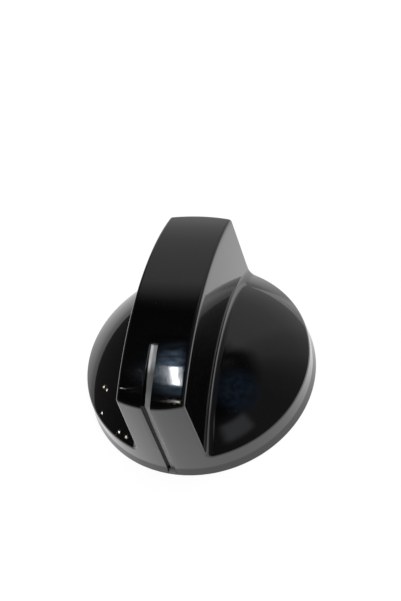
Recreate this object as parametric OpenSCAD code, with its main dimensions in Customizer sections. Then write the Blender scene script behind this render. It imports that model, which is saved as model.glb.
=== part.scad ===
// Stove knob: a round domed skirt with a full-width bar grip across it, moulded in one piece
// around a hub for a flatted shaft, with a spring clip and a steel band in the hub.
// Z is the shaft's axis and points out of the front. The origin is on that axis, in the plane
// of the skirt's edge. The grip lies along Y and its pointer line is at -Y.

/* [Skirt] */
// Widest diameter, over the lip at the skirt's edge
skirt_d = 44; // [40:0.5:56]
// How far the lip stands out of the side wall
lip_out = 0.35; // [0.2:0.05:0.8]
// Height of the lip's upright edge
lip_h = 0.6; // [0.4:0.1:1.5]
// Draft of the side wall and of the grip's sides, in degrees
draft = 2.2; // [1:0.1:3]
// Radius of the edge between side wall and dome
rim_r = 0.8; // [0.4:0.1:1.2]

/* [Dome and grip] */
// Depth below the skirt's edge of the cross axis that dome and grip are both turned about
cross_axis_depth = 16.8; // [14:0.2:22]
// Height of the dome at its middle, under the grip
dome_h = 13.8; // [12:0.1:16]
// Height of the grip at its middle
grip_h = 27; // [24:0.5:32]
// Width of the grip's top face
grip_w = 12; // [11:0.5:14]
// Radius of the grip's long top edges
edge_r = 0.6; // [0.3:0.1:1]
// Radius of the fillet at the grip's foot
foot_r = 1.6; // [0.8:0.1:2.4]

/* [Pointer] */
// Width of the pointer groove
pointer_w = 1.6; // [1:0.1:2.4]
// Depth of the pointer groove
pointer_depth = 0.7; // [0.3:0.1:1]
// Distance of the groove's closed end from the shaft's axis
pointer_from_axis = 10.4; // [4:0.2:16]
// How far the groove lies to the left of the grip's middle
pointer_offset = 0.6; // [0:0.1:2]

/* [Shell] */
// Thickness of the skirt's and the dome's wall
skin = 2.2; // [1.6:0.1:3]
// Thickness of the grip's sides and top
grip_skin = 2.4; // [1.6:0.1:3]

/* [Hub] */
// Outer diameter of the hub
hub_d = 12; // [11:0.5:14]
// How far the hub's mouth lies inside the skirt's edge
hub_recess = 2; // [1:0.5:4]
// Diameter of the shaft that the hub takes
shaft_d = 6; // [5:0.5:6.5]
// Thickness of that shaft across its flat
shaft_across_flat = 4.6; // [4:0.1:4.8]
// Clearance all round the shaft in the flatted hole
shaft_clearance = 0.05; // [0.02:0.01:0.1]
// Clearance all round the shaft in the round entry
entry_clearance = 0.4; // [0.3:0.05:0.5]
// Depth of the round entry before the flat begins
entry_depth = 4; // [3:0.5:5]
// Full depth of the shaft's hole from the hub's mouth
bore_depth = 15; // [14:0.5:18]
// Width of the chamfer at the hole's mouth
mouth_chamfer = 0.4; // [0.2:0.1:0.8]

/* [Ribs] */
// Thickness of the four ribs between hub and shell
rib_t = 1.4; // [1:0.1:2.4]

/* [Spring clip] */
// Thickness of the spring strip
clip_t = 0.35; // [0.25:0.05:0.4]
// Width of the spring strip
clip_w = 3.6; // [3:0.1:3.8]
// Clearance on the strip in its slot
clip_clearance = 0.1; // [0.05:0.05:0.2]
// Thickness of the web that the clip straddles
web_t = 0.85; // [0.7:0.05:1]
// Length of the bowed leg against the shaft's flat
clip_leg = 7.6; // [6:0.2:8]
// Length of the straight leg behind the web
clip_back_leg = 6; // [4:0.2:6]
// Free height above the legs in their slots
clip_headroom = 0.6; // [0.2:0.1:1]
// How far the bowed leg reaches past the hole's flat
clip_reach = 0.3; // [0.1:0.05:0.4]

/* [Hub band] */
// Thickness of the steel band round the hub
band_t = 0.8; // [0.5:0.1:1.2]
// Width of the band along the shaft
band_w = 2.6; // [2:0.1:4]
// How far the hub's end stands past the band
band_setback = 0.4; // [0.2:0.1:1]

/* [Hidden] */
eps = 0.01;
slope = tan(draft);
// How far an arc runs into the faces that it blends, so that they cross
bite = 0.005;
// How far a blend's profile runs past its arc, inside the solid or outside it
spare = 0.4;

// Side wall: a cone with the draft, inside the lip
wall_r = skirt_d / 2 - lip_out;
tall = grip_h + 2;

// Radii about the cross axis
grip_top_r = grip_h + cross_axis_depth;
dome_r = dome_h + cross_axis_depth;

// Hub and bore
bore_r = shaft_d / 2 + shaft_clearance;
entry_r = shaft_d / 2 + entry_clearance;
flat_y = shaft_across_flat - shaft_d / 2 + shaft_clearance;
entry_top = hub_recess + entry_depth;
bore_top = hub_recess + bore_depth;
ribs_from = hub_recess + band_setback + band_w;

// Spring clip: both legs lie on the web, and the bend wraps its lower end
clip_slot = clip_t + clip_clearance;
web_in = flat_y + clip_slot;
web_out = web_in + web_t;
slot_out = web_out + clip_slot;
bend_in_r = web_t / 2;
bend_out_r = bend_in_r + clip_t;
web_end = entry_top + bend_out_r + clip_clearance;
key_w = clip_w + clip_clearance;
slot_top = web_end + clip_leg + clip_headroom;
clip_bow = clip_reach + clip_clearance;

// A solid cone with the side wall's draft, of radius r at the skirt's edge
module drafted_drum(r) {
    translate([0, 0, -eps])
        cylinder(h = tall, r1 = r, r2 = r - tall * slope, $fn = 240);
}

// Turns a profile about the cross axis: its x is the radius, its y runs along the axis
module about_cross_axis() {
    translate([0, 0, -cross_axis_depth])
        rotate([0, 90, 0])
            rotate_extrude($fn = 360)
                children();
}

// Half the width at radius r about the cross axis, of a grip with a top face of width w
function half_width(r, w) = w / 2 + (grip_top_r - r) * slope;

// Distance from the dome's centre, along a drafted face, of a point that lies reach away from
// that centre. The face's line starts k beside the centre and leans towards it
function along_face(k, reach) =
    (k * slope + sqrt(pow(k * slope, 2) - (1 + slope * slope) * (k * k - reach * reach)))
    / (1 + slope * slope);

// Grip section above the cross axis, with its two top edges rounded
module grip_section() {
    corner = [grip_top_r - edge_r, half_width(grip_top_r - edge_r, grip_w) - edge_r / cos(draft)];
    touch = corner + edge_r * [sin(draft), cos(draft)];
    foot = [dome_r - foot_r, half_width(dome_r - foot_r, grip_w)];
    polygon([
        [foot.x, -foot.y], [touch.x, -touch.y], [corner.x, -corner.y], [grip_top_r, -corner.y],
        [grip_top_r, corner.y], [corner.x, corner.y], [touch.x, touch.y], [foot.x, foot.y]
    ]);
    for (side = [-1, 1])
        translate([corner.x, side * corner.y])
            circle(r = edge_r, $fn = 48);
}

// Fillet between the grip's side and the dome: its arc touches both from outside
module foot_fillet() {
    k = half_width(0, grip_w) + foot_r / cos(draft);
    reach = dome_r + foot_r;
    up = along_face(k, reach);
    centre = [up, k - up * slope];
    on_side = centre - foot_r * [sin(draft), cos(draft)];
    on_dome = centre * dome_r / reach;
    difference() {
        polygon([
            [on_side.x, on_side.y - spare], [on_side.x, on_side.y + spare / 2], centre,
            [on_dome.x + spare / 2, on_dome.y], [on_dome.x - spare, on_dome.y],
            [on_dome.x - 2 * spare, on_side.y - 2 * spare]
        ]);
        translate(centre)
            circle(r = foot_r + bite, $fn = 96);
    }
}

// Grip with its foot fillets, turned about the cross axis and cut off by the side wall
module grip() {
    intersection() {
        drafted_drum(wall_r);
        about_cross_axis() {
            grip_section();
            foot_fillet();
            mirror([0, 1])
                foot_fillet();
        }
    }
}

// Skirt and dome, turned about the shaft's axis, with the edge between them rounded
module domed_drum() {
    k = wall_r - rim_r / cos(draft) + cross_axis_depth * slope;
    reach = dome_r - rim_r;
    up = along_face(k, reach);
    centre = [k - up * slope, up - cross_axis_depth];
    on_wall = centre + rim_r * [cos(draft), sin(draft)];
    on_dome = [0, -cross_axis_depth] + [centre.x, up] * dome_r / reach;
    rotate_extrude($fn = 240)
        difference() {
            intersection() {
                translate([0, -cross_axis_depth])
                    circle(r = dome_r, $fn = 360);
                polygon([[0, 0], [wall_r, 0], [wall_r - tall * slope, tall], [0, tall]]);
            }
            difference() {
                polygon([
                    centre, [on_wall.x - spare / 2, on_wall.y], [on_wall.x + spare, on_wall.y],
                    [on_wall.x + spare, on_dome.y + spare], [on_dome.x, on_dome.y + spare],
                    [on_dome.x, on_dome.y - spare / 2]
                ]);
                translate(centre)
                    circle(r = rim_r + bite, $fn = 96);
            }
        }
}

// Lip round the skirt's edge, with a short slope up to the wall
module lip() {
    cylinder(h = lip_h, r = skirt_d / 2, $fn = 240);
    translate([0, 0, lip_h])
        cylinder(h = 2 * lip_out, r1 = skirt_d / 2, r2 = wall_r - lip_out, $fn = 240);
}

// The space inside the skirt, under the dome, and the core inside the grip
module hollow() {
    foot = [dome_r - skin - foot_r, half_width(dome_r - skin - foot_r, grip_w) - grip_skin];
    top = [grip_top_r - grip_skin, half_width(grip_top_r - grip_skin, grip_w) - grip_skin];
    intersection() {
        drafted_drum(wall_r - skin);
        translate([0, 0, -cross_axis_depth])
            sphere(r = dome_r - skin, $fn = 240);
    }
    intersection() {
        drafted_drum(wall_r - grip_skin);
        about_cross_axis()
            polygon([[foot.x, -foot.y], [top.x, -top.y], [top.x, top.y], [foot.x, foot.y]]);
    }
}

// Hub post and the four ribs, left standing in the hollow
module hub_and_ribs() {
    translate([0, 0, hub_recess])
        cylinder(h = grip_h - hub_recess, d = hub_d, $fn = 96);
    for (turn = [0, 90])
        rotate([0, 0, turn])
            translate([-skirt_d / 2, -rib_t / 2, ribs_from])
                cube([skirt_d, rib_t, grip_h]);
}

// The shaft's hole: a chamfered round entry, then a closer hole with a flat
module shaft_hole() {
    translate([0, 0, hub_recess - eps])
        cylinder(h = mouth_chamfer + eps, r1 = entry_r + mouth_chamfer, r2 = entry_r, $fn = 96);
    translate([0, 0, hub_recess])
        cylinder(h = entry_depth, r = entry_r, $fn = 96);
    difference() {
        translate([0, 0, hub_recess])
            cylinder(h = bore_depth, r = bore_r, $fn = 96);
        translate([-hub_d, flat_y, 0])
            cube([2 * hub_d, hub_d, 2 * grip_h]);
    }
}

// Keyway and slots that the clip is pushed into, on both sides of its web
module clip_slots() {
    difference() {
        translate([-key_w / 2, 0, hub_recess - eps])
            cube([key_w, slot_out, slot_top - hub_recess]);
        translate([-key_w, web_in, web_end])
            cube([2 * key_w, web_t, grip_h]);
    }
}

// Pointer groove: along the grip's top from its closed end, then down the end wall
module pointer_groove() {
    difference() {
        translate([-pointer_offset - pointer_w / 2, -skirt_d, -eps])
            cube([pointer_w, skirt_d - pointer_from_axis, 2 * grip_h]);
        intersection() {
            drafted_drum(wall_r - pointer_depth);
            translate([-skirt_d, 0, -cross_axis_depth])
                rotate([0, 90, 0])
                    cylinder(h = 2 * skirt_d, r = grip_top_r - pointer_depth, $fn = 360);
        }
    }
}

// The one moulding: outer form, less its hollow, the hub's hole and slots, and the groove
module knob_body() {
    color([0.03, 0.03, 0.035])
        difference() {
            union() {
                domed_drum();
                grip();
                lip();
            }
            difference() {
                hollow();
                hub_and_ribs();
            }
            shaft_hole();
            clip_slots();
            pointer_groove();
        }
}

// Hairpin of spring strip: a flat leg in the slot, a bend, and a bowed leg in the hole
module shaft_clip() {
    bow_r = (clip_leg * clip_leg / 4 + clip_bow * clip_bow) / (2 * clip_bow);
    mid = web_in + bend_in_r;
    color([0.72, 0.73, 0.75])
        translate([-clip_w / 2, 0, 0])
            rotate([90, 0, 90])
                linear_extrude(height = clip_w) {
                    // Bend round the end of the web
                    difference() {
                        translate([mid, web_end])
                            circle(r = bend_out_r, $fn = 64);
                        translate([mid, web_end])
                            circle(r = bend_in_r, $fn = 64);
                        translate([0, web_end])
                            square([hub_d, hub_d]);
                    }
                    // Leg in the slot behind the web
                    translate([web_out, web_end])
                        square([clip_t, clip_back_leg]);
                    // Bowed leg that presses on the shaft's flat
                    intersection() {
                        difference() {
                            translate([web_in - clip_t - clip_bow + bow_r, web_end + clip_leg / 2])
                                circle(r = bow_r, $fn = 720);
                            translate([web_in - clip_t - clip_bow + bow_r, web_end + clip_leg / 2])
                                circle(r = bow_r - clip_t, $fn = 720);
                        }
                        translate([0, web_end])
                            square([web_in, clip_leg]);
                    }
                }
}

// Closed steel band pressed over the hub's end, up against the ribs
module hub_band() {
    color([0.62, 0.63, 0.65])
        translate([0, 0, ribs_from - band_w])
            difference() {
                cylinder(h = band_w, d = hub_d + 2 * band_t, $fn = 96);
                translate([0, 0, -eps])
                    cylinder(h = band_w + 2 * eps, d = hub_d, $fn = 96);
            }
}

knob_body();
shaft_clip();
hub_band();
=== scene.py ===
import math

import bpy
import numpy as np
from mathutils import Matrix, Vector


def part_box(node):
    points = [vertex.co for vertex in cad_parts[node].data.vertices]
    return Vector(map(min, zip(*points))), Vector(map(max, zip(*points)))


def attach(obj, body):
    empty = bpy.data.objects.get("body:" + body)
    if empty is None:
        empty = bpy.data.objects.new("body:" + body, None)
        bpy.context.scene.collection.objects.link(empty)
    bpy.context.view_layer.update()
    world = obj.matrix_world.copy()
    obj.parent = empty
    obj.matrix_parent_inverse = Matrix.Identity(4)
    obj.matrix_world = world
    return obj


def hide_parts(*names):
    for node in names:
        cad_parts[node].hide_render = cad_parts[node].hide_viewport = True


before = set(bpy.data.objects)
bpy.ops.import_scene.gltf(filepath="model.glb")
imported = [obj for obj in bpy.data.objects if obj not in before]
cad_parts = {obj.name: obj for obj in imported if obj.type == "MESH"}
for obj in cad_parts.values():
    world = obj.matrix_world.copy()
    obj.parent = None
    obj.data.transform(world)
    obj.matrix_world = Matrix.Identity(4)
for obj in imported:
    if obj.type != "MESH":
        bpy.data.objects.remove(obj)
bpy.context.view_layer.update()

mm = 0.001  # the sizes below are in millimetres, the meshes in metres


# Small helpers

def clearSelection():
    if bpy.context.object and bpy.context.object.mode != 'OBJECT':
        bpy.ops.object.mode_set(mode='OBJECT')
    bpy.ops.object.select_all(action='DESELECT')


def pick(piece):
    clearSelection()
    piece.select_set(True)
    bpy.context.view_layer.objects.active = piece


def named(name):
    piece = bpy.context.object
    piece.name = piece.data.name = name
    return piece


def settlePlace(piece):
    pick(piece)
    bpy.ops.object.transform_apply(location=True, rotation=True, scale=True)
    return piece


def wrappedGrid(name, points):
    # a flat grid, wrapped on a surface that is given point by point, row after row
    rows, columns = points.shape[:2]
    clearSelection()
    bpy.ops.mesh.primitive_grid_add(x_subdivisions=columns - 1, y_subdivisions=rows - 1, size=1)
    sheet = named(name)
    sheet.data.vertices.foreach_set('co', (points * mm).astype(np.float32).ravel())
    return sheet


def joined(name, parts, gap=0.002):
    pick(parts[0])
    for part in parts:
        part.select_set(True)
    bpy.ops.object.join()
    whole = named(name)
    bpy.ops.object.mode_set(mode='EDIT')
    bpy.ops.mesh.select_all(action='SELECT')
    bpy.ops.mesh.remove_doubles(threshold=gap * mm)
    bpy.ops.mesh.normals_make_consistent(inside=False)
    bpy.ops.object.mode_set(mode='OBJECT')
    return whole


def carve(target, tool, operation='DIFFERENCE', keep=False):
    pick(target)
    cut = target.modifiers.new('carve', 'BOOLEAN')
    cut.operation = operation
    cut.solver = 'MANIFOLD'
    cut.object = tool
    bpy.ops.object.modifier_apply(modifier=cut.name)
    if not keep:
        bpy.data.objects.remove(tool)
    return target


def coordinates(piece):
    place = np.empty(len(piece.data.vertices) * 3, np.float32)
    piece.data.vertices.foreach_get('co', place)
    return place.reshape(-1, 3).astype(float)


# The knob's own sizes

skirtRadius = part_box('knob_body')[1].x / mm
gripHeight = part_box('knob_body')[1].z / mm

body = {
    'lipOut': 0.35,           # how far the lip stands out of the side wall
    'lipHeight': 0.6,
    'lipRound': 0.14,
    'lipLean': 12,            # degrees that the lip's face leans back
    'draft': 2.2,             # degrees
    'crossAxisDepth': 16.8,   # of the axis that dome and grip are turned about
    'domeHeight': 13.8,
    'gripWidth': 12.0,
    'edgeRound': 0.6,         # the grip's long edges
    'cornerRound': 0.4,       # the grip's ends
    'rimRound': 0.21,
    'footFillet': 1.6,
    'columns': 76,
    'rows': {'top': 8, 'edge': 8, 'side': 16, 'fillet': 12, 'dome': 26, 'belt': 8},
}
nearEdge = np.array([0, 0.07, 0.15, 0.24, 0.34, 0.45, 0.6, 0.8, 1.1, 1.5])

slope = math.tan(math.radians(body['draft']))
cosDraft = math.cos(math.radians(body['draft']))
sinDraft = math.sin(math.radians(body['draft']))
wallRadius = skirtRadius - body['lipOut']
depth = body['crossAxisDepth']
gripTop = gripHeight + depth
domeRadius = body['domeHeight'] + depth
gripHalf = body['gripWidth'] / 2


def alongFace(start, reach):
    # how far up a drafted face a point is that lies reach from the dome's centre
    inside = (start * slope) ** 2 - (1 + slope ** 2) * (start ** 2 - reach ** 2)
    return (start * slope + math.sqrt(inside)) / (1 + slope ** 2)


filletStart = gripHalf + gripTop * slope + body['footFillet'] / cosDraft
filletRho = alongFace(filletStart, domeRadius + body['footFillet'])
filletX = filletStart - filletRho * slope
filletReach = math.hypot(filletX, filletRho)


def crownDistance(x, rho):
    # distance from the turned section of grip, fillets and dome
    x = np.abs(x)
    side = (x - gripHalf - (gripTop - rho) * slope) * cosDraft + body['edgeRound']
    top = rho - gripTop + body['edgeRound']
    grip = np.hypot(np.maximum(side, 0), np.maximum(top, 0)) + np.minimum(np.maximum(side, top), 0)
    grip -= body['edgeRound']
    dome = np.hypot(x, rho) - domeRadius
    across, up = x - filletX, rho - filletRho
    pastSide = -cosDraft * up + sinDraft * across > 0
    pastDome = (-across * filletRho + up * filletX) / filletReach > 0
    hollow = body['footFillet'] - np.hypot(across, up)
    return np.where(pastSide & pastDome, hollow, np.minimum(grip, dome))


def outerDistance(place):
    # distance from the knob's outside above its lip, with the wall's edges rounded
    x, y, z = place.T
    rho = np.hypot(y, z + depth)
    crown = crownDistance(x, rho)
    wall = (np.hypot(x, y) - wallRadius + slope * z) * cosDraft
    share = np.clip((np.hypot(x, rho) - domeRadius) / 2.5, 0, 1)
    rounding = body['rimRound'] + (body['cornerRound'] - body['rimRound']) * share
    a, b = crown + rounding, wall + rounding
    return np.hypot(np.maximum(a, 0), np.maximum(b, 0)) + np.minimum(np.maximum(a, b), 0) - rounding


def outward(place, step=1e-4):
    rise = np.empty_like(place)
    for axis in range(3):
        shift = np.zeros(3)
        shift[axis] = step
        rise[:, axis] = (outerDistance(place + shift) - outerDistance(place - shift)) / (2 * step)
    return rise


def settled(points):
    # the points moved onto the rounded outside
    place = points.reshape(-1, 3).copy()
    for step in range(8):
        rise = outward(place)
        place -= outerDistance(place)[:, None] * rise / (rise ** 2).sum(1)[:, None]
    return place.reshape(points.shape)


def wallReach(x, rho):
    # where a circle of the crown meets the side wall: its angle about the cross axis
    y = np.full_like(x, 0.9 * skirtRadius)
    for step in range(30):
        z = np.sqrt(np.maximum(rho ** 2 - y ** 2, 0)) - depth
        y = np.sqrt(np.maximum((wallRadius - slope * z) ** 2 - x ** 2, 0))
    return np.arcsin(np.clip(y / rho, -1, 1))


def gradedAcross(half, count):
    # places from -half to half, close together near both ends
    scale = min(1, half / (3 * nearEdge[-1])) if half > 0 else 0
    ends = half - nearEdge * scale
    middle = np.linspace(-ends[-1], ends[-1], count - 2 * len(nearEdge) + 2)
    return np.concatenate([-ends, middle[1:-1], ends[::-1]])


def crownSection():
    # the right half of the section as (x, rho), from the end of the flat top to the rim's far point
    rows = body['rows']
    flatHalf = gripHalf - body['edgeRound'] / cosDraft + body['edgeRound'] * slope
    turn = np.linspace(math.pi / 2, math.radians(body['draft']), rows['edge'] + 1)
    edge = np.stack([flatHalf + body['edgeRound'] * np.cos(turn),
                     gripTop - body['edgeRound'] + body['edgeRound'] * np.sin(turn)], 1)
    onSide = np.array([filletX - body['footFillet'] * cosDraft, filletRho - body['footFillet'] * sinDraft])
    share = np.linspace(0, 1, rows['side'] + 1)[1:, None]
    side = edge[-1] + (onSide - edge[-1]) * share
    turn = np.linspace(math.pi + math.radians(body['draft']),
                       math.pi + math.atan2(filletRho, filletX), rows['fillet'] + 1)[1:]
    fillet = np.stack([filletX + body['footFillet'] * np.cos(turn),
                       filletRho + body['footFillet'] * np.sin(turn)], 1)
    sweep = np.linspace(math.asin(fillet[-1, 0] / rimRadius), math.pi / 2, rows['dome'] + 1)[1:]
    x = rimRadius * np.sin(sweep)
    dome = np.stack([x, np.sqrt(domeRadius ** 2 - x ** 2)], 1)
    return flatHalf, np.concatenate([edge, side, fillet, dome])


rimRadius = wallRadius
for step in range(30):
    rimHeight = math.sqrt(domeRadius ** 2 - rimRadius ** 2) - depth
    rimRadius = wallRadius - slope * rimHeight


def outerSkin():
    rows = body['rows']
    flatHalf, half = crownSection()
    across = gradedAcross(flatHalf, 2 * len(nearEdge) + rows['top'] - 1)
    top = np.stack([across, np.full_like(across, gripTop)], 1)
    left = half[::-1] * [-1, 1]
    section = np.concatenate([left[:-1], top, half[1:]])
    reach = wallReach(section[:, 0], section[:, 1])
    reach[[0, -1]] = 0
    crown = np.empty((len(section), body['columns'], 3))
    for row, ((x, rho), end) in enumerate(zip(section, reach)):
        turn = gradedAcross(end * rho, body['columns']) / rho
        crown[row] = np.stack([np.full_like(turn, x), rho * np.sin(turn), rho * np.cos(turn) - depth], 1)
    parts = [wrappedGrid('crown', settled(crown))]

    # both end walls of the grip, row by row from the rim's height to the top edge
    upright = half[:1 + rows['edge'] + rows['side'] + rows['fillet']][::-1]
    topTurn = wallReach(across, top[:, 1])
    topHeight = gripTop * np.cos(topTurn) - depth
    turn = wallReach(upright[:, 0], upright[:, 1])
    atCorner = upright[:, 1] * np.cos(turn) - depth
    cornerShare = (atCorner - rimHeight) / (atCorner[-1] - rimHeight)
    middle = np.linspace(rimHeight, topHeight.max() - nearEdge[-1], len(upright) - len(nearEdge) + 1)
    middle = np.concatenate([middle[:-1], topHeight.max() - nearEdge[::-1]])
    middleShare = (middle - rimHeight) / (middle[-1] - rimHeight)
    for end in (-1, 1):
        wall = np.empty((len(upright), len(across), 3))
        for row, (x, rho) in enumerate(upright):
            spread = gradedAcross(x, len(across))
            toCorner = (spread / x) ** 4
            share = cornerShare[row] * toCorner + middleShare[row] * (1 - toCorner)
            z = rimHeight + (topHeight - rimHeight) * share
            y = end * np.sqrt((wallRadius - slope * z) ** 2 - spread ** 2)
            wall[row] = np.stack([spread, y, z], 1)
        parts.append(wrappedGrid('endWall', settled(wall)))
        if end < 0:
            nearFoot = wall[0]
        else:
            farFoot = wall[0]

    # the belt under the rim and the lip, as a ring of points taken down step by step
    domeStart = len(half) - rows['dome'] - 1
    rimPoints = half[domeStart:]
    rimY = np.sqrt(np.maximum(rimRadius ** 2 - rimPoints[:, 0] ** 2, 0))
    rightNear = np.stack([rimPoints[:, 0], -rimY], 1)[1:]
    rightFar = (rightNear * [1, -1])[::-1][1:]
    leftFar = (rightFar * [-1, 1])[::-1]
    leftFar = np.concatenate([leftFar, [[-rimRadius, 0]]])
    leftNear = (leftFar * [1, -1])[::-1][1:]
    ring = np.concatenate([nearFoot[:, :2], rightNear, rightFar, farFoot[::-1, :2], leftFar, leftNear])
    direction = ring / np.linalg.norm(ring, axis=1)[:, None]
    direction = np.concatenate([direction, direction[:1]])
    lipTop = body['lipHeight'] + 4 * body['lipOut']
    heights = np.concatenate([rimHeight - nearEdge, np.linspace(rimHeight - nearEdge[-1], lipTop,
                                                                 rows['belt'])[1:]])
    belt = np.empty((len(heights), len(direction), 3))
    for row, z in enumerate(heights):
        belt[row, :, :2] = direction * (wallRadius - slope * z)
        belt[row, :, 2] = z
    belt = settled(belt)
    lip = np.empty((len(lipOutline(lipTop)), len(direction), 3))
    for row, (r, z) in enumerate(lipOutline(lipTop)):
        lip[row, :, :2] = direction * r
        lip[row, :, 2] = z
    parts.append(wrappedGrid('belt', belt))
    parts.append(wrappedGrid('lip', lip))
    skin = joined('skin', parts)
    bpy.ops.object.mode_set(mode='EDIT')
    bpy.ops.mesh.select_all(action='DESELECT')
    bpy.ops.mesh.select_non_manifold()
    bpy.ops.mesh.edge_face_add()
    bpy.ops.mesh.select_all(action='SELECT')
    bpy.ops.mesh.normals_make_consistent(inside=False)
    bpy.ops.object.mode_set(mode='OBJECT')
    return skin


def arc(centre, radius, start, end, count):
    turn = np.radians(np.linspace(start, end, count))
    return [(centre[0] + radius * math.cos(t), centre[1] + radius * math.sin(t)) for t in turn]


def lipOutline(top):
    # from the wall down over the lip to the flat edge that the knob stands on
    small = body['lipRound']
    wall = (wallRadius - slope * top, top)
    outline = [wall, (wall[0] + 0.010, top - 0.18), (wall[0] + 0.035, top - 0.32)]
    outline += arc((skirtRadius - small, small * 1.6), small, body['lipLean'], 0, 4)
    outline += arc((skirtRadius - small, small), small, 0, -90, 6)
    outline += [(skirtRadius - 0.6, 0), (skirtRadius - 1.4, 0)]
    return outline


print('making the outer skin')
skin = outerSkin()
print('skin', len(skin.data.vertices), 'vertices', len(skin.data.polygons), 'faces')


# The hollow, the hub with its ribs and hole, and the pointer groove

inside = {
    'skin': 2.2,              # wall of skirt and dome
    'gripSkin': 2.4,
    'hubRadius': 6.0,
    'hubRecess': 2.0,
    'ribThick': 1.4,
    'ribsFrom': 5.0,
    'entryRadius': 3.4,       # round entry for the shaft
    'entryDepth': 4.0,
    'boreRadius': 3.05,
    'boreDepth': 15.0,
    'flatAt': 1.65,           # the hole's flat, from the axis
    'mouthChamfer': 0.4,
    'keyWidth': 3.7,          # the clip's keyway and slots
    'webFrom': 2.10,
    'webTo': 2.95,
    'webBottom': 6.875,
    'slotBack': 3.40,
    'slotTop': 15.075,
    'grooveWidth': 1.6,
    'grooveDepth': 0.7,
    'grooveFromAxis': 10.4,
    'grooveShift': 0.6,
    'grooveLow': 0.3,         # the groove leaves the lip's lower edge standing
    'edgeBreak': 0.1,
}


def turned(name, outline, steps=128, aboutX=False):
    # an outline of (radius, height) points turned into a closed solid
    turn = np.linspace(0, 2 * math.pi, steps + 1)
    sheet = np.empty((len(outline), len(turn), 3))
    for row, (radius, height) in enumerate(outline):
        ring = [radius * np.cos(turn), radius * np.sin(turn), np.full_like(turn, height)]
        if aboutX:
            ring = [ring[2], ring[0], ring[1] - depth]
        sheet[row] = np.stack(ring, 1)
    return joined(name, [wrappedGrid(name, sheet)], gap=1e-4)


def block(name, low, high):
    clearSelection()
    middle = (np.array(low) + np.array(high)) / 2 * mm
    bpy.ops.mesh.primitive_cube_add(size=1, location=middle, scale=(np.array(high) - np.array(low)) * mm)
    return settlePlace(named(name))


aboveAll = gripHeight + 3  # where the cutters end


def drum(name, radius, low=-1.0, high=aboveAll):
    foot, head = radius - slope * low, radius - slope * high
    return turned(name, [(0, low), (foot, low), (head, high), (0, high)], 240)


def hollowTools():
    dome = domeRadius - inside['skin']
    wall = wallRadius - inside['skin']
    reach = wall
    for step in range(30):
        z = math.sqrt(dome ** 2 - reach ** 2) - depth
        reach = wall - slope * z
    end = math.asin(reach / dome)
    outline = [(0, -1), (wall + slope, -1), (reach, z)]
    outline += [(dome * math.sin(t), dome * math.cos(t) - depth) for t in np.linspace(end, 0, 25)[1:]]
    bowl = turned('bowl', outline, 192)

    footRho = dome - body['footFillet']
    topRho = gripTop - inside['gripSkin']
    foot = gripHalf + (gripTop - footRho) * slope - inside['gripSkin']
    top = gripHalf + (gripTop - topRho) * slope - inside['gripSkin']
    section = [(footRho, -foot), (topRho, -top), (topRho, top), (footRho, foot), (footRho, -foot)]
    core = turned('core', section, 256, aboutX=True)
    carve(core, drum('coreEnds', wallRadius - inside['gripSkin']), 'INTERSECT')
    tools = [bowl, core]
    hub, mouth, low = inside['hubRadius'], inside['hubRecess'], inside['ribsFrom']
    ribHalf, far = inside['ribThick'] / 2, skirtRadius
    for tool in tools:
        carve(tool, turned('post', [(0, mouth), (hub, mouth), (hub, aboveAll), (0, aboveAll)], 96))
        carve(tool, block('ribAlong', (-ribHalf, -far, low), (ribHalf, far, aboveAll)))
        carve(tool, block('ribAcross', (-far, -ribHalf, low), (far, ribHalf, aboveAll)))
    return tools


def shaftTools():
    mouth, entry, bore = inside['hubRecess'], inside['entryRadius'], inside['boreRadius']
    chamfer, top = inside['mouthChamfer'], inside['hubRecess'] + inside['boreDepth']
    outline = [(0, mouth - 1), (entry + chamfer + 1, mouth - 1), (entry, mouth + chamfer),
               (entry, mouth + inside['entryDepth']), (0, mouth + inside['entryDepth'])]
    entryTool = turned('entry', outline, 96)
    hole = turned('hole', [(0, mouth), (bore, mouth), (bore, top), (0, top)], 96)
    pick(hole)
    bpy.ops.object.mode_set(mode='EDIT')
    bpy.ops.mesh.select_all(action='SELECT')
    bpy.ops.mesh.bisect(plane_co=(0, inside['flatAt'] * mm, 0), plane_no=(0, 1, 0),
                        use_fill=True, clear_outer=True)
    bpy.ops.object.mode_set(mode='OBJECT')
    half = inside['keyWidth'] / 2
    slots = block('slots', (-half, 0.3, mouth - 0.5), (half, inside['slotBack'], inside['slotTop']))
    web = (-inside['keyWidth'], inside['webFrom'], inside['webBottom'])
    carve(slots, block('web', web, (inside['keyWidth'], inside['webTo'], aboveAll)))
    return [entryTool, hole, slots]


def grooveTool():
    middle, half = -inside['grooveShift'], inside['grooveWidth'] / 2
    low = (middle - half, -skirtRadius - 2, inside['grooveLow'])
    groove = block('groove', low, (middle + half, -inside['grooveFromAxis'], aboveAll))
    floorRho = gripTop - inside['grooveDepth']
    section = [(0, -aboveAll), (floorRho, -aboveAll), (floorRho, aboveAll), (0, aboveAll)]
    core = turned('grooveFloor', section, 720, aboutX=True)
    carve(core, drum('grooveEnd', wallRadius - inside['grooveDepth'], -3), 'INTERSECT')
    return carve(groove, core)


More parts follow.
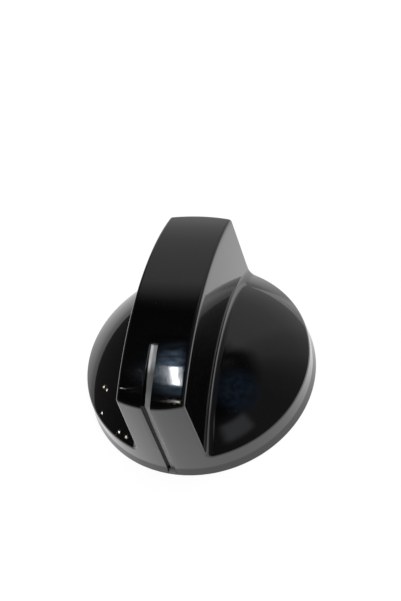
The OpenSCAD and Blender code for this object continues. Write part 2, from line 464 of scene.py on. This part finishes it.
def breakEdges(piece, width):
    # a small round on the sharp edges of the groove
    pick(piece)
    bpy.ops.object.mode_set(mode='EDIT')
    bpy.ops.mesh.select_mode(type='EDGE')
    bpy.ops.mesh.select_all(action='DESELECT')
    bpy.ops.mesh.edges_select_sharp(sharpness=math.radians(40))
    bpy.ops.object.mode_set(mode='OBJECT')
    place = coordinates(piece) / mm
    ends = np.empty(len(piece.data.edges) * 2, np.int32)
    piece.data.edges.foreach_get('vertices', ends)
    middle = place[ends.reshape(-1, 2)].mean(1)
    sharp = np.empty(len(piece.data.edges), bool)
    piece.data.edges.foreach_get('select', sharp)
    inGroove = (np.abs(middle[:, 0] + inside['grooveShift']) < 0.9) & (middle[:, 1] < -10.2)
    chosen = sharp & inGroove & (middle[:, 2] > 2.2) & (outerDistance(middle) > -0.05)
    for edge, wanted in zip(piece.data.edges, chosen):
        edge.select = bool(wanted)
    bpy.ops.object.mode_set(mode='EDIT')
    bpy.ops.mesh.bevel(offset=width * mm, segments=3, profile=0.5, clamp_overlap=True)
    bpy.ops.object.mode_set(mode='OBJECT')


def exactNormals(piece):
    # corners on the outside take the true surface's normal, so that the gloss runs smoothly
    mesh = piece.data
    place = coordinates(piece) / mm
    onSkin = (np.abs(outerDistance(place)) < 2e-3) & (place[:, 2] > 2.05)
    rise = outward(place, 1e-3)
    rise /= np.linalg.norm(rise, axis=1)[:, None]
    pick(piece)
    bpy.ops.object.shade_smooth_by_angle(angle=math.radians(38))
    normals = np.empty(len(mesh.loops) * 3, np.float32)
    mesh.corner_normals.foreach_get('vector', normals)
    normals = normals.reshape(-1, 3)
    corner = np.empty(len(mesh.loops), np.int32)
    mesh.loops.foreach_get('vertex_index', corner)
    agrees = onSkin[corner] & ((normals * rise[corner]).sum(1) > 0.8)
    normals[agrees] = rise[corner][agrees]
    mesh.normals_split_custom_set(normals.tolist())


print('cutting the hollow, the hub and the groove')
knob = skin
for tool in hollowTools() + shaftTools() + [grooveTool()]:
    carve(knob, tool)
    print('  cut', len(knob.data.polygons), 'faces')
breakEdges(knob, inside['edgeBreak'])
exactNormals(knob)
knob.name = knob.data.name = 'mouldedKnob'

print('making the band')
band = {
    'inner': 6.0,
    'outer': 6.8,
    'low': 2.4,
    'high': 5.0,
    'round': 0.15,
}


def bandOutline():
    r = band['round']
    low, high, inner, outer = band['low'], band['high'], band['inner'], band['outer']
    points = arc((outer - r, low + r), r, -90, 0, 6) + arc((outer - r, high - r), r, 0, 90, 6)
    points += arc((inner + r / 2, high - r / 2), r / 2, 90, 180, 4)
    points += arc((inner + r / 2, low + r / 2), r / 2, 180, 270, 4)
    return points + points[:1]


hubBand = turned('hubBand', bandOutline(), 160)
pick(hubBand)
bpy.ops.object.shade_smooth_by_angle(angle=math.radians(35))


# Materials

class Value:
    # one socket's output; arithmetic on it adds the Math nodes
    def __init__(self, nodes, socket):
        self.nodes, self.socket = nodes, socket

    def math(self, operation, *others):
        sockets = dict(enumerate((self,) + others))
        return self.nodes.add('ShaderNodeMath', {'operation': operation}, sockets)[0]

    def __add__(self, other):
        return self.math('ADD', other)

    def __sub__(self, other):
        return self.math('SUBTRACT', other)

    def __mul__(self, other):
        return self.math('MULTIPLY', other)

    def __truediv__(self, other):
        return self.math('DIVIDE', other)

    def __rsub__(self, other):
        return (self * -1) + other

    def __gt__(self, other):
        return self.math('GREATER_THAN', other)

    def __lt__(self, other):
        return self.math('LESS_THAN', other)

    def power(self, exponent):
        return self.math('POWER', exponent)

    def mapped(self, low, high, newLow, newHigh):
        sockets = {0: self, 1: low, 2: high, 3: newLow, 4: newHigh}
        return self.nodes.add('ShaderNodeMapRange', {'interpolation_type': 'SMOOTHSTEP'}, sockets)[0]

    __radd__ = __add__
    __rmul__ = __mul__


class Nodes:
    def __init__(self, owner):
        owner.use_nodes = True
        self.tree = owner.node_tree
        self.tree.nodes.clear()

    def add(self, kind, settings=None, sockets=None):
        node = self.tree.nodes.new(kind)
        for name, setting in (settings or {}).items():
            if name == 'stops':
                ramp = node.color_ramp.elements
                for index, (place, tone) in enumerate(setting):
                    stop = ramp[index] if index < 2 else ramp.new(place)
                    stop.position = place
                    stop.color = (*tone, 1) if isinstance(tone, tuple) else (tone, tone, tone, 1)
            else:
                setattr(node, name, setting)
        for name, content in (sockets or {}).items():
            if isinstance(content, Value):
                self.tree.links.new(content.socket, node.inputs[name])
            else:
                node.inputs[name].default_value = content
        return {**{index: Value(self, socket) for index, socket in enumerate(node.outputs)},
                **{socket.name: Value(self, socket) for socket in node.outputs}}

    def place(self):
        return self.add('ShaderNodeTexCoord')['Object']

    def split(self, vector):
        parts = self.add('ShaderNodeSeparateXYZ', None, {0: vector})
        return parts[0], parts[1], parts[2]

    def noise(self, vector, size, detail=2.0, stretch=(1, 1, 1)):
        scaled = self.add('ShaderNodeMapping', None, {'Vector': vector, 'Scale': stretch})[0]
        sockets = {'Vector': scaled, 'Scale': 1 / (size * mm), 'Detail': detail}
        return self.add('ShaderNodeTexNoise', None, sockets)[0]

    def blend(self, share, first, second):
        sockets = {'Factor': share, 6: first, 7: second}
        return self.add('ShaderNodeMix', {'data_type': 'RGBA'}, sockets)[2]

    def finish(self, kind, shader):
        self.add(kind, None, {'Surface': shader})


def glossBlackPlastic():
    # hard black moulding: glossy, with a fine orange peel, a little handling haze and dust
    look = {'plastic': (0.0022, 0.0022, 0.0026, 1), 'dust': (0.10, 0.10, 0.105, 1), 'ior': 1.6}
    material = bpy.data.materials.new('glossBlackPlastic')
    nodes = Nodes(material)
    place = nodes.place()
    x, y, z = nodes.split(place)
    haze = nodes.noise(place, 7.0, 3.0).mapped(0.35, 0.75, 0.0, 1.0)
    scratches = nodes.noise(place, 0.5, 3.0, (1, 0.06, 0.3)).mapped(0.62, 0.74, 0.0, 1.0)
    specks = nodes.noise(place, 0.22, 1.0).mapped(0.755, 0.80, 0.0, 1.0)
    rim = (z / mm).mapped(0.1, 0.5, 1.0, 0.0)

    # silver paint, wiped into the pointer groove
    top = (y * y + (z + depth * mm).power(2)).power(0.5) * -1 + gripTop * mm
    wall = (x * x + y * y).power(0.5) * -1 + wallRadius * mm - z * slope
    deep = top.math('MINIMUM', wall) / mm
    across = (x / mm + inside['grooveShift']).math('ABSOLUTE')
    grain = nodes.noise(place, 0.35, 4.0)
    painted = (deep + grain * 0.25).mapped(0.50, 0.66, 0.0, 1.0) * (deep < 1.2)
    painted = painted * (across < 0.85) * (y < -inside['grooveFromAxis'] * mm + 0.0001)
    along = nodes.add('ShaderNodeMapRange', None, {0: y / mm, 1: -20.6, 2: -10.4})[0]
    askew = along.mapped(0.0, 1.0, 0.27, -0.13) - (z / mm).mapped(14, 20.5, 0.17, 0.0)
    fromLine = (x / mm + inside['grooveShift'] - askew).math('ABSOLUTE') + grain * 0.12
    painted = painted * fromLine.mapped(0.60, 0.70, 1.0, 0.0)
    atFoot = (z > 0.25 * mm) * (z < 0.36 * mm) * (across < 0.85) * (y < -20.5 * mm)
    painted = painted.math('MAXIMUM', atFoot)
    patchy = nodes.noise(place, 1.6, 3.0, (1, 0.5, 0.5))
    # the paint's tone along the line, given as stops: lighter on the end wall and at the closed end, darker
    # in the middle
    toneAlongLine = [(0.0, 0.37), (0.12, 0.34), (0.3, 0.14), (0.55, 0.13), (0.75, 0.42), (1.0, 0.50)]
    lineTone = nodes.add('ShaderNodeValToRGB', {'stops': toneAlongLine}, {0: along})[0]
    silver = nodes.blend(patchy.mapped(0.3, 0.7, 0.0, 0.45), lineTone, (0.22, 0.22, 0.225, 1))
    # painted highlight: a bright streak on the left of the painted line near its closed end, standing in
    # for light caught by the groove's left wall
    paintedGlint = along.mapped(0.52, 0.68, 0, 1) * (x / mm + inside['grooveShift']).mapped(-0.35, -0.05, 1, 0)
    silver = nodes.blend(paintedGlint * patchy.mapped(0.25, 0.5, 0.6, 1.0), silver, (0.86, 0.86, 0.88, 1))

    plastic = nodes.blend(specks * 0.5, look['plastic'], look['dust'])
    colour = nodes.blend(painted, plastic, silver)
    rough = haze * 0.035 + scratches * 0.05 + specks * 0.2 + rim * 0.06 + 0.045
    rough = rough * (1 - painted) + painted * (grain * 0.2 + 0.35)
    peel = nodes.noise(place, 1.1, 2.0) * 0.6 + nodes.noise(place, 0.12, 2.0) * 0.03 + painted * grain * 3
    bump = nodes.add('ShaderNodeBump', None, {'Strength': 0.35, 'Distance': 0.006 * mm, 'Height': peel})[0]
    sockets = {'Base Color': colour, 'Roughness': rough, 'Metallic': painted * 0.25,
               'IOR': look['ior'], 'Normal': bump}
    nodes.finish('ShaderNodeOutputMaterial', nodes.add('ShaderNodeBsdfPrincipled', None, sockets)[0])
    return material


def drawnSteel(name, tone, stretch, toneAlongLine):
    # bare strip steel: drawn lines along the strip, darker and rougher where it has been handled
    material = bpy.data.materials.new(name)
    nodes = Nodes(material)
    place = nodes.place()
    lines = nodes.noise(place, 0.35, 4.0, stretch)
    stain = nodes.noise(place, 2.2, 4.0).mapped(0.40, 0.72, 0.0, 1.0)
    pits = nodes.noise(place, 0.3, 2.0).mapped(0.66, 0.74, 0.0, 1.0)
    bright = tuple(tone) + (1,)
    dull = tuple(part * toneAlongLine for part in tone) + (1,)
    colour = nodes.blend(stain * 0.6 + pits * 0.3, bright, dull)
    rough = lines * 0.14 + stain * 0.12 + pits * 0.2 + 0.17
    height = lines + pits * -1.2
    bump = nodes.add('ShaderNodeBump', None, {'Strength': 0.5, 'Distance': 0.006 * mm, 'Height': height})[0]
    sockets = {'Base Color': colour, 'Roughness': rough, 'Metallic': 1.0, 'Normal': bump}
    nodes.finish('ShaderNodeOutputMaterial', nodes.add('ShaderNodeBsdfPrincipled', None, sockets)[0])
    return material


print('materials')
knob.data.materials.clear()
knob.data.materials.append(glossBlackPlastic())
hubBand.data.materials.clear()
hubBand.data.materials.append(drawnSteel('bandSteel', (0.60, 0.60, 0.615), (0.1, 0.1, 2.5), 0.62))
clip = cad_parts['shaft_clip']
clip.data.materials.clear()
clip.data.materials.append(drawnSteel('springSteel', (0.56, 0.565, 0.59), (2.5, 0.15, 0.15), 0.55))


# Floor, room and lamps

room = {
    'floorReach': 2.0,        # metres
    'background': 1.13,
    'openBelow': 20.5,        # mm, the floor's hole under the knob, for light from below
    'softLight': 14.0,        # watts
}


def paleFloor():
    clearSelection()
    bpy.ops.mesh.primitive_plane_add(size=2 * room['floorReach'], location=(0, 0, 0))
    floor = named('floor')
    material = bpy.data.materials.new('paleFloor')
    nodes = Nodes(material)
    rays = nodes.add('ShaderNodeLightPath')
    camera, glossy = rays['Is Camera Ray'], rays['Is Glossy Ray']
    x, y, z = nodes.split(nodes.place())
    away = (x * x + y * y).power(0.5) * 1000
    across, along = x / mm, y / mm
    near = away.mapped(25, 130, 1.35, 0.78)
    near = near * (1 - along.mapped(-60, -20, 1, 0) * across.mapped(-10, 10, 0, 0.2))
    near = near + across.mapped(20, 30, 0, 0.9) * along.mapped(-14, 4, 0, 1)
    strength = near * glossy + camera * room['background']
    shine = nodes.add('ShaderNodeEmission', None, {'Color': (1, 1, 1, 1), 'Strength': strength})[0]
    plain = nodes.add('ShaderNodeBsdfDiffuse', None, {'Color': (0.86, 0.86, 0.86, 1)})[0]
    seen = camera.math('MAXIMUM', glossy) * 0.8
    mixed = nodes.add('ShaderNodeMixShader', None, {0: seen, 1: plain, 2: shine})[0]
    fromBelow = nodes.add('ShaderNodeNewGeometry')['Backfacing'] * camera
    gone = fromBelow.math('MAXIMUM', away < room['openBelow'])
    clear = nodes.add('ShaderNodeBsdfTransparent')[0]
    shown = nodes.add('ShaderNodeMixShader', None, {0: gone, 1: mixed, 2: clear})[0]
    nodes.finish('ShaderNodeOutputMaterial', shown)
    floor.data.materials.append(material)
    return floor


roomLamps = {
    'skylight': (0.455, -0.11, 0.883),
    'skyTint': (0.08, 0.15, 0.26, 1),
    'small': [((-0.981, 0.065, 0.185), 0.6), ((-0.97, 0.015, 0.241), 0.55), ((-0.983, -0.145, 0.112), 0.6),
              ((-0.865, -0.428, 0.262), 0.8), ((-0.801, -0.513, 0.309), 0.7)],
    'smallTint': (26, 24, 20, 1),
}


def turnShare(degrees):
    return degrees / 360 + 0.5


def litRoom():
    # white to the camera; to the gloss it is a room with a pale wall behind and darker sides
    world = bpy.data.worlds.new('room')
    bpy.context.scene.world = world
    nodes = Nodes(world)
    direction = nodes.add('ShaderNodeTexCoord')['Generated']
    x, y, z = nodes.split(direction)
    height = z.math('ARCSINE') / (math.pi / 2)
    around = x.math('ARCTAN2', y) / (2 * math.pi) + 0.5
    taller = around.mapped(turnShare(-5), turnShare(22), 0, 0.12)
    taller = taller * around.mapped(turnShare(30), turnShare(52), 1, 0)
    height = height - taller * height.mapped(0.3, 0.6, 0, 1)
    wallStops = [(0.0, 0.70), (0.10, 0.61), (0.22, 0.54), (0.52, 0.53), (0.58, 0.30), (0.635, 0.08),
                 (0.69, 0.03), (0.80, 0.12), (0.92, 0.10), (1.0, 0.08)]
    wall = nodes.add('ShaderNodeValToRGB', {'stops': wallStops}, {0: height})[0]

    sideStops = [(0.0, 0.07), (turnShare(-125), 0.08), (turnShare(-95), 0.13), (turnShare(-42), 0.14),
                 (turnShare(-34), 0.9), (turnShare(-25), 1.0), (turnShare(32), 1.0), (turnShare(40), 0.8),
                 (turnShare(52), 0.66), (turnShare(60), 0.45), (turnShare(72), 0.28), (turnShare(92), 0.2),
                 (turnShare(120), 0.2), (turnShare(150), 0.14), (1.0, 0.07)]
    side = nodes.add('ShaderNodeValToRGB', {'stops': sideStops}, {0: around})[0]
    window = height.mapped(0.39, 0.45, 0, 1) * height.mapped(0.53, 0.58, 1, 0)
    window = window * around.mapped(turnShare(118), turnShare(128), 0, 1)
    window = window * around.mapped(turnShare(146), turnShare(158), 1, 0)
    tone = nodes.add('ShaderNodeMix', {'data_type': 'RGBA', 'blend_type': 'MULTIPLY'},
                     {'Factor': 1.0, 6: wall, 7: side})[2]
    lit = nodes.blend(window * 0.9, tone, (0.48, 0.50, 0.51, 1))
    rays = nodes.add('ShaderNodeLightPath')

    def towards(target):
        sockets = {0: direction, 1: Vector(target).normalized()}
        return nodes.add('ShaderNodeVectorMath', {'operation': 'DOT_PRODUCT'}, sockets)['Value']

    # a blue skylight, and the small lamps that sparkle in the gloss
    skylight = towards(roomLamps['skylight']).mapped(0.945, 1.0, 0, 1)
    skylight = skylight * nodes.noise(direction, 60, 3.0).mapped(0.35, 0.65, 0.4, 1.0)
    lit = nodes.blend(skylight, lit, roomLamps['skyTint'])
    sparkle = 0
    for target, width in roomLamps['small']:
        edge = math.cos(math.radians(width))
        sparkle = towards(target).mapped(edge, 1 - (1 - edge) * 0.4, 0, 1) + sparkle
    sparkle = sparkle * rays['Is Glossy Ray']
    lit = nodes.blend(sparkle.math('MINIMUM', 1), lit, roomLamps['smallTint'])
    seen = nodes.blend(rays['Is Camera Ray'], lit, (1, 1, 1, 1))
    nodes.finish('ShaderNodeOutputWorld', nodes.add('ShaderNodeBackground', None, {'Color': seen})[0])


def facing(target, at, along):
    # rotation that turns -Z to the target and Y along a direction
    back = (Vector(at) - Vector(target)).normalized()
    across = Vector(along).cross(back).normalized()
    up = back.cross(across)
    return Matrix((across, up, back)).transposed()


def areaLamp(name, at, turn, width, length, watts, tint):
    clearSelection()
    bpy.ops.object.light_add(type='AREA', location=at, rotation=turn.to_euler())
    lamp = bpy.context.object
    lamp.name = name
    lamp.data.shape = 'RECTANGLE'
    lamp.data.size, lamp.data.size_y = width, length
    lamp.data.energy = watts
    lamp.data.color = tint
    return lamp


strip = {
    'corners': ((-168, 61, 492), (-146, 73, 496), (-142, -201, 464), (-164, -211, 454)),  # of its glow, mm
    'core': (0.0032, 0.074),  # metres
    'coreShift': (0.0103, -0.036),
    'watts': 0.036,
    'spots': (((-146.5, -211.4, 458.5), 0.0042), ((-184, -173.6, 463.6), 0.0026)),  # mm, metres
    'spotRadiance': 26,
    'glow': 4.4,
    'glowWidth': 0.026,
    'glowShift': 0.004,
    'tint': (0.50, 0.72, 1.0, 1),
}


def lamps():
    corners = [Vector(corner) * mm for corner in strip['corners']]
    middle = sum(corners, Vector()) / 4
    along = (corners[0] + corners[1] - corners[2] - corners[3]) / 2
    turn = facing((0.004, -0.015, 0.024), middle, along)
    right, up, back = turn.transposed()
    core = middle + right * strip['coreShift'][0] + up * strip['coreShift'][1]
    areaLamp('stripLamp', core, turn, *strip['core'], strip['watts'], (1.0, 0.98, 0.95))
    for number, (seenAt, size) in enumerate(strip['spots']):
        spot = Vector(seenAt) * mm
        areaLamp('spot%d' % number, spot, facing((0, -0.019, 0.023), spot, along), size, size,
                 strip['spotRadiance'] * math.pi * size ** 2, (1.0, 0.95, 0.85))

    clearSelection()
    behind = middle + (back + right) * strip['glowShift']
    bpy.ops.mesh.primitive_plane_add(size=1, location=behind, rotation=turn.to_euler())
    glow = named('stripGlow')
    glow.scale = (strip['glowWidth'], along.length, 1)
    settlePlace(glow)
    material = bpy.data.materials.new('stripGlow')
    nodes = Nodes(material)
    u, v, w = nodes.split(nodes.add('ShaderNodeTexCoord')['UV'])
    aside, alongside = (u - 0.75) / 0.33, (v - 0.42) / 0.24
    spread = ((aside * aside + alongside * alongside) * -1).math('EXPONENT')
    fade = (u - 0.5).math('ABSOLUTE').mapped(0.36, 0.5, 1, 0)
    fade = fade * (v - 0.5).math('ABSOLUTE').mapped(0.38, 0.5, 1, 0)
    patchy = nodes.noise(nodes.place(), 5, 5.0, (1, 0.3, 1)).mapped(0.34, 0.66, 0.15, 1.6)
    strength = spread * fade * patchy * strip['glow']
    light = nodes.add('ShaderNodeEmission', None, {'Color': strip['tint'], 'Strength': strength})[0]
    clear = nodes.add('ShaderNodeBsdfTransparent')[0]
    glossy = nodes.add('ShaderNodeLightPath')['Is Glossy Ray']
    shown = nodes.add('ShaderNodeMixShader', None, {0: glossy, 1: clear, 2: light})[0]
    nodes.finish('ShaderNodeOutputMaterial', shown)
    glow.data.materials.append(material)

    soft = areaLamp('softLamp', (0.1, -0.1, 1.5), facing((0, 0, 0), (0.1, -0.1, 1.5), (0, 1, 0)),
                    1.2, 1.2, room['softLight'], (1, 1, 1))
    soft.visible_glossy = False


camera = {
    'azimuth': 27.923,        # degrees, as the photograph looks at the knob
    'elevation': 51.924,
    'roll': -19.228,
    'distance': 197.586,      # mm
    'shiftRight': -0.264,
    'shiftUp': 13.715,
    'focal': 1026.61 / 601,   # in picture heights
}


def photographCamera():
    turn, rise, roll = (math.radians(camera[key]) for key in ('azimuth', 'elevation', 'roll'))
    back = Vector((math.sin(turn) * math.cos(rise), -math.cos(turn) * math.cos(rise), math.sin(rise)))
    level = Vector((math.cos(turn), math.sin(turn), 0))
    upright = back.cross(level)
    right = math.cos(roll) * level + math.sin(roll) * upright
    up = math.cos(roll) * upright - math.sin(roll) * level
    at = (back * camera['distance'] + right * camera['shiftRight'] + up * camera['shiftUp']) * mm
    clearSelection()
    bpy.ops.object.camera_add(location=at, rotation=Matrix((right, up, back)).transposed().to_euler())
    viewer = bpy.context.object
    viewer.data.sensor_fit = 'AUTO'
    viewer.data.sensor_width = 36
    viewer.data.lens = 36 * camera['focal']
    viewer.data.clip_start = 0.01
    bpy.context.scene.camera = viewer


print('floor, room, lamps and camera')
paleFloor()
litRoom()
lamps()
photographCamera()
bpy.context.scene.view_settings.view_transform = 'Standard'

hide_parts('knob_body')
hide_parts('hub_band')
for piece, slot in ((knob, 'black_gloss'), (hubBand, 'band_steel')):
    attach(piece, 'root')
